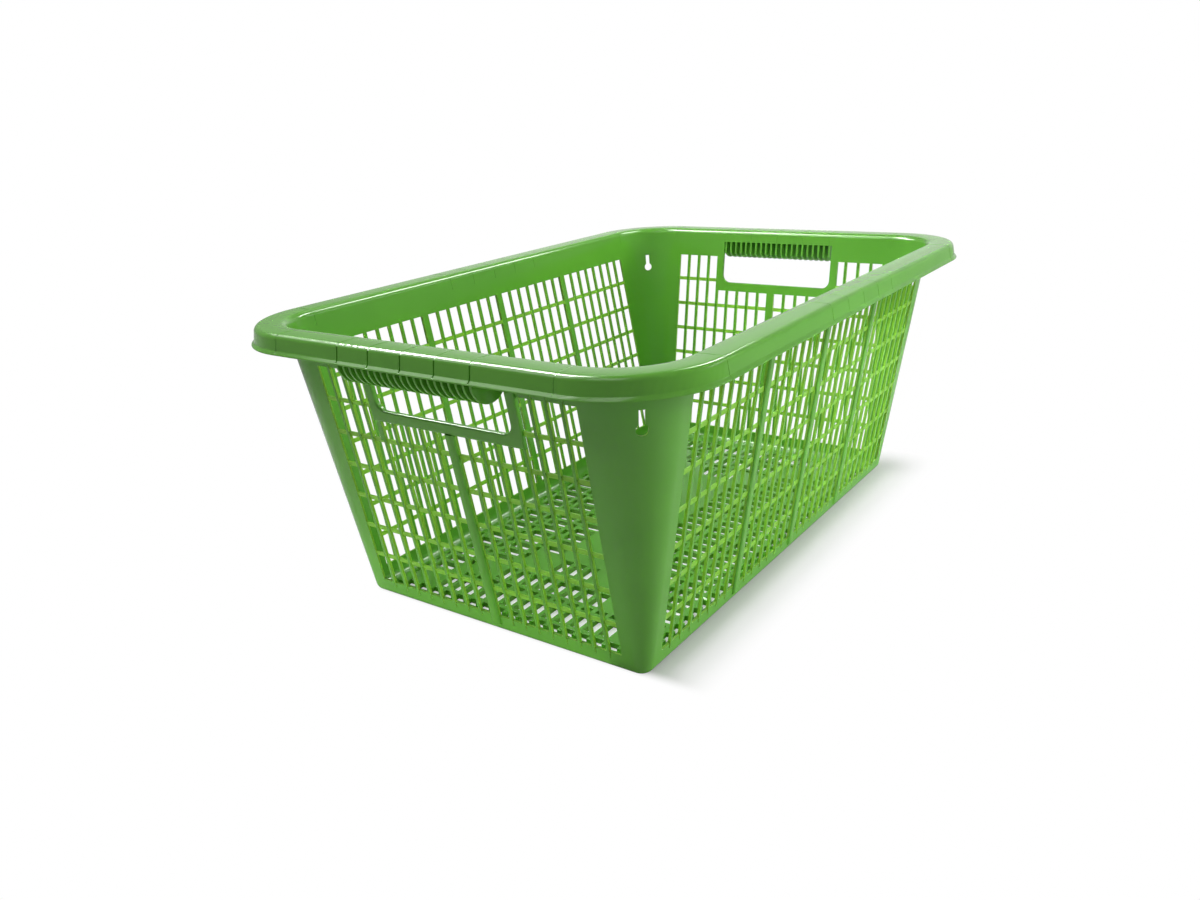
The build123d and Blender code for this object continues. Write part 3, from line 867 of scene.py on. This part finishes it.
def floorGrille():
    halfX, halfY = cornerX + ringOut - base["ring"], cornerY + ringOut - base["ring"]
    windows = floorWindows(halfX, halfY)
    edgeX, edgeY = max(b[1] for b in windows), max(b[3] for b in windows)
    leaveEdit()
    bpy.ops.mesh.primitive_plane_add(size=1, location=(0, 0, 0))
    piece = bpy.context.object
    piece.name = "floor_grille_moulding"
    piece.scale = (2 * halfX, 2 * halfY, 1)
    bpy.ops.object.transform_apply(location=True, rotation=True, scale=True)
    bpy.ops.object.mode_set(mode="EDIT")
    cutLines(axisX, [x for box in windows for x in box[:2]])
    cutLines(axisY, [y for box in windows for y in box[2:]])

    def inWindow(face):
        middle = face.calc_center_median()
        return any(b[0] < middle.x < b[1] and b[2] < middle.y < b[3] for b in windows)

    def inField(place, limitX, limitY):
        return abs(place.x) < limitX and abs(place.y) < limitY

    def clearOfRing(place):
        return inField(place, halfX - 10 * slack, halfY - 10 * slack)

    cutAway(inWindow)
    push(0, 0, basket["floor"])
    pick("FACE", lambda f: inField(f.calc_center_median(), edgeX, edgeY), narrow=True)
    push(0, 0, base["barRise"])
    faceOutwards()
    pick("EDGE", lambda e: isSharp(e) and all(clearOfRing(v.co) for v in e.verts))
    bevelPicked(grille["edgeRound"], 2)
    # a faint painted glow, with light let through, on the sides of the floor bars
    markThin(lambda f: abs(f.normal.z) < base["flatShare"] and clearOfRing(f.calc_center_median()),
             base["thin"])
    tidyMesh(piece)
    return piece


floorPiece = floorGrille()
settle(floorPiece)
finishPiece(floorPiece, "floor_grille")
print("stage: base ring and floor,", len(floorPiece.data.polygons), "faces")

for node, piece in pieces.items():
    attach(piece, "root")
    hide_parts(node)
for node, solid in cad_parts.items():
    solid.data.materials.clear()
    solid.data.materials.append(greenPlastic)
print("stage:", len(pieces), "pieces stand for their nodes")

# Studio: pale floor, soft light and the photograph's camera, in metres
studio = {
    "floorSize": 8.0,
    "floorDrop": 0.0002,
    "floorNear": "#cccccc",
    "floorFar": "#8c8c8c",
    "dimStart": 0.55,
    "dimEnd": 0.95,
    "roughness": 0.9,
    "specular": 0.1,
    "floorGlow": 0.12,
    "underGlow": 0.34,
    # axis, where the zone is clear and where it is full
    "shadeZone": (("X", -0.25, -0.235), ("X", 0.31, 0.245), ("Y", 0.152, 0.14), ("Y", -0.205, -0.145)),
    "underZone": (("X", -0.24, -0.23), ("X", 0.24, 0.23), ("Y", 0.14, 0.13), ("Y", -0.14, -0.13)),
    "mirrored": 0.4,  # share of the white floor that mirror reflections see beyond these distances
    "mirrorStart": 0.85,
    "mirrorEnd": 1.2,
    "roomMirrored": 0.25,  # share of the white room that they see
    "ambient": 0.115,
    "backBand": 0.75,
    "backHeading": (0.966, 0.259, 0),
    "backClear": 0.74,  # cosine from the heading at which the backdrop begins, and where it is full
    "backFull": 0.92,
    "bandFull": 0.35,  # sine of the height up to which the backdrop is full, and where it ends
    "bandEnd": 0.58,
}
leaveEdit()
bpy.ops.mesh.primitive_plane_add(size=studio["floorSize"], location=(0, 0, -studio["floorDrop"]))
ground = bpy.context.object
ground.name = "ground"
# plain floor that the camera sees lifted to white, fully so outside the shadow of the basket,
# and that mirror reflections see partly white farther off; under the basket, where the floor windows show
# it, the camera sees it lifted further by painted light
groundPaint = bpy.data.materials.new("pale studio floor")
groundPaint.use_nodes = True
groundTree = groundPaint.node_tree
groundShader = groundTree.nodes["Principled BSDF"]
groundShader.inputs["Roughness"].default_value = studio["roughness"]
groundShader.inputs["Specular IOR Level"].default_value = studio["specular"]
groundPath = addNode(groundTree, "ShaderNodeLightPath")
groundPlace = addNode(groundTree, "ShaderNodeTexCoord")
distance = addNode(groundTree, "ShaderNodeVectorMath", {"operation": "LENGTH"},
                   links={0: groundPlace.outputs["Object"]})
dim = addNode(groundTree, "ShaderNodeMapRange", {"interpolation_type": "SMOOTHSTEP"},
              {"From Min": studio["dimStart"], "From Max": studio["dimEnd"]},
              {"Value": distance.outputs["Value"]})
floorTone = addNode(groundTree, "ShaderNodeMix", {"data_type": "RGBA"},
                    {"A": linear(studio["floorNear"]), "B": linear(studio["floorFar"])},
                    {"Factor": dim.outputs["Result"]})
groundTree.links.new(floorTone.outputs["Result"], groundShader.inputs["Base Color"])
spot = addNode(groundTree, "ShaderNodeSeparateXYZ", links={"Vector": groundPlace.outputs["Object"]})


def floorZone(limits):
    # share of the floor that the camera sees within soft limits along X and Y
    share = groundPath.outputs["Is Camera Ray"]
    for axis, clear, full in limits:
        edge = addNode(groundTree, "ShaderNodeMapRange", {"interpolation_type": "SMOOTHSTEP"},
                       {"From Min": clear, "From Max": full}, {"Value": spot.outputs[axis]})
        both = addNode(groundTree, "ShaderNodeMath", {"operation": "MULTIPLY"},
                       links={0: share, 1: edge.outputs["Result"]})
        share = both.outputs["Value"]
    return share


shade = floorZone(studio["shadeZone"])
under = floorZone(studio["underZone"])
clearPart = addNode(groundTree, "ShaderNodeMath", {"operation": "SUBTRACT"},
                    links={0: groundPath.outputs["Is Camera Ray"], 1: shade})
away = addNode(groundTree, "ShaderNodeMapRange", {"interpolation_type": "SMOOTHSTEP"},
               {"From Min": studio["mirrorStart"], "From Max": studio["mirrorEnd"],
                "To Max": studio["mirrored"]},
               {"Value": distance.outputs["Value"]})
seenWhite = addNode(groundTree, "ShaderNodeMath", {"operation": "MULTIPLY_ADD"},
                    links={0: groundPath.outputs["Is Glossy Ray"], 1: away.outputs["Result"],
                           2: clearPart.outputs["Value"]})
lift = addNode(groundTree, "ShaderNodeMath", {"operation": "MULTIPLY"}, {1: studio["floorGlow"]},
               {0: groundPath.outputs["Is Camera Ray"]})
# painted light: the ground under the basket is lifted for the camera where the floor windows show it
paler = addNode(groundTree, "ShaderNodeMath", {"operation": "MULTIPLY_ADD"}, {1: studio["underGlow"]},
                {0: under, 2: lift.outputs["Value"]})
glow = addNode(groundTree, "ShaderNodeEmission", links={"Strength": paler.outputs["Value"]})
lifted = addNode(groundTree, "ShaderNodeAddShader",
                 links={0: groundShader.outputs["BSDF"], 1: glow.outputs["Emission"]})
whiteFloor = addNode(groundTree, "ShaderNodeEmission", inputs={"Strength": 1.0})
faded = addNode(groundTree, "ShaderNodeMixShader",
                links={"Fac": seenWhite.outputs["Value"], 1: lifted.outputs["Shader"],
                       2: whiteFloor.outputs["Emission"]})
groundTree.links.new(faded.outputs["Shader"], groundTree.nodes["Material Output"].inputs["Surface"])
ground.data.materials.append(groundPaint)

# white surroundings for the camera and partly for mirror reflections; the light itself is a dim room
# with a bright low backdrop behind the basket
world = bpy.data.worlds.new("studio")
bpy.context.scene.world = world
world.use_nodes = True
worldTree = world.node_tree
light = worldTree.nodes["Background"]
heading = addNode(worldTree, "ShaderNodeTexCoord").outputs["Generated"]
facing = addNode(worldTree, "ShaderNodeVectorMath", {"operation": "DOT_PRODUCT"},
                 {1: studio["backHeading"]}, {0: heading})
behind = addNode(worldTree, "ShaderNodeMapRange", {"interpolation_type": "SMOOTHSTEP"},
                 {"From Min": studio["backClear"], "From Max": studio["backFull"]},
                 {"Value": facing.outputs["Value"]})
parts = addNode(worldTree, "ShaderNodeSeparateXYZ", links={"Vector": heading})
low = addNode(worldTree, "ShaderNodeMapRange", {"interpolation_type": "SMOOTHSTEP"},
              {"From Min": studio["bandFull"], "From Max": studio["bandEnd"],
               "To Min": 1.0, "To Max": 0.0},
              {"Value": parts.outputs["Z"]})
band = addNode(worldTree, "ShaderNodeMath", {"operation": "MULTIPLY"},
               links={0: behind.outputs["Result"], 1: low.outputs["Result"]})
level = addNode(worldTree, "ShaderNodeMath", {"operation": "MULTIPLY_ADD"},
                {1: studio["backBand"] - studio["ambient"], 2: studio["ambient"]},
                {0: band.outputs["Value"]})
worldTree.links.new(level.outputs["Value"], light.inputs["Strength"])
light.inputs["Color"].default_value = (1, 1, 1, 1)
white = addNode(worldTree, "ShaderNodeBackground", inputs={"Color": (1, 1, 1, 1), "Strength": 1.0})
path = addNode(worldTree, "ShaderNodeLightPath")
seenRoom = addNode(worldTree, "ShaderNodeMath", {"operation": "MULTIPLY_ADD"},
                   {1: studio["roomMirrored"]},
                   {0: path.outputs["Is Glossy Ray"], 2: path.outputs["Is Camera Ray"]})
mixed = addNode(worldTree, "ShaderNodeMixShader",
                links={"Fac": seenRoom.outputs["Value"], 1: light.outputs["Background"],
                       2: white.outputs["Background"]})
worldTree.links.new(mixed.outputs["Shader"], worldTree.nodes["World Output"].inputs["Surface"])


def areaLamp(name, power, size, place, target, spread=180):
    lampData = bpy.data.lights.new(name, "AREA")
    lampData.energy = power
    lampData.shape = "RECTANGLE"
    lampData.size, lampData.size_y = size
    lampData.spread = math.radians(spread)
    lamp = bpy.data.objects.new(name, lampData)
    bpy.context.scene.collection.objects.link(lamp)
    lamp.location = place
    lamp.rotation_euler = (Vector(target) - Vector(place)).to_track_quat("-Z", "Y").to_euler()
    return lamp


# softboxes, and strips that draw bright lines along the edges of the rim
shownLamps = {
    "left softbox": {"power": 3.5, "size": (0.8, 0.8),
                     "place": (-1.0, -0.2, 1.6), "target": (0, 0, 0.1)},
    "back softbox": {"power": 13.0, "size": (1.8, 1.0),
                     "place": (-0.4, 0.95, 1.43), "target": (0, 0, 0.15)},
    "side strip": {"power": 2.6, "size": (1.2, 0.08),
                   "place": (1.35, -1.55, 1.15), "target": (0, 0, 0.1)},
    "back strip": {"power": 5.5, "size": (0.9, 0.12),
                   "place": (-0.05, 1.17, 1.3), "target": (0, 0, 0.2)},
    "top strip": {"power": 3.0, "size": (2.0, 0.1),
                  "place": (-0.1, 0.62, 1.5), "target": (-0.1, 0, 0.1)},
}
# a broad side softbox, two gridded ones (over the left rim into the basket, along the long near wall)
# and low panels beside the basket: these give light without being mirrored
softLamps = {
    "side softbox": {"power": 33.5, "size": (1.4, 1.1),
                     "place": (1.35, -1.55, 1.15), "target": (0, 0, 0.1)},
    "inside softbox": {"power": 0.15, "size": (0.25, 0.25),
                       "place": (-0.6, -0.2, 1.3), "target": (0.3, 0.02, 0.25), "spread": 24},
    "front softbox": {"power": 0.115, "size": (0.2, 0.2),
                      "place": (-1.3, -0.75, 0.8), "target": (0.2, -0.18, 0.12), "spread": 13},
    "floor panel": {"power": 1.05, "size": (0.7, 0.3),
                    "place": (0.0, -0.58, 0.0004), "target": (0.0, -0.58, 1)},
    "left panel": {"power": 0.33, "size": (0.16, 0.64),
                   "place": (-0.332, 0.2, 0.0004), "target": (-0.332, 0.2, 1)},
    "front panel": {"power": 0.61, "size": (0.76, 0.35),
                    "place": (0.13, -0.328, 0.0004), "target": (0.13, -0.328, 1)},
}
# bright panels that are only mirrored, as lines along the rim and the foot of the far walls
shineLamps = {
    "cross panel": {"power": 4.3, "size": (0.45, 0.95),
                    "place": (-0.08, 0.58, 1.35), "target": (0.01, -0.32, 0.15), "spread": 44},
    "right panel": {"power": 11.5, "size": (0.8, 0.28),
                    "place": (0.92, -0.12, 1.2), "target": (0.92, 0.3, 0.2)},
}
for name, values in shownLamps.items():
    areaLamp(name, **values)
for name, values in softLamps.items():
    softLamp = areaLamp(name, **values)
    softLamp.visible_camera = False
    softLamp.visible_glossy = False
for name, values in shineLamps.items():
    shineLamp = areaLamp(name, **values)
    shineLamp.visible_camera = False
    shineLamp.visible_diffuse = False

# angles in degrees, focal length and middle of the picture in its pixels, sensor in mm
view = {"azimuth": -54.51, "elevation": 19.87, "roll": -3.25, "focal": 969.52, "middle": (615.58, 447.33),
        "place": (-0.7701, -0.5047, 0.4155), "width": 1200, "height": 900, "sensor": 36}
az, el, roll = [math.radians(view[key]) for key in ("azimuth", "elevation", "roll")]
back = Vector((math.sin(az) * math.cos(el), -math.cos(az) * math.cos(el), math.sin(el)))
right = Vector((math.cos(az), math.sin(az), 0))
up = back.cross(right)
across = right * math.cos(roll) + up * math.sin(roll)
upright = up * math.cos(roll) - right * math.sin(roll)
cameraData = bpy.data.cameras.new("camera")
cameraData.sensor_fit = "HORIZONTAL"
cameraData.sensor_width = view["sensor"]
cameraData.lens = view["focal"] / view["width"] * view["sensor"]
cameraData.shift_x = (view["width"] / 2 - view["middle"][0]) / view["width"]
cameraData.shift_y = (view["middle"][1] - view["height"] / 2) / view["width"]
camera = bpy.data.objects.new("camera", cameraData)
bpy.context.scene.collection.objects.link(camera)
cameraTurn = Matrix((across, upright, back)).transposed().to_4x4()
camera.matrix_world = Matrix.Translation(view["place"]) @ cameraTurn
bpy.context.scene.camera = camera
bpy.context.scene.view_settings.view_transform = "Standard"
print("stage: studio and camera")
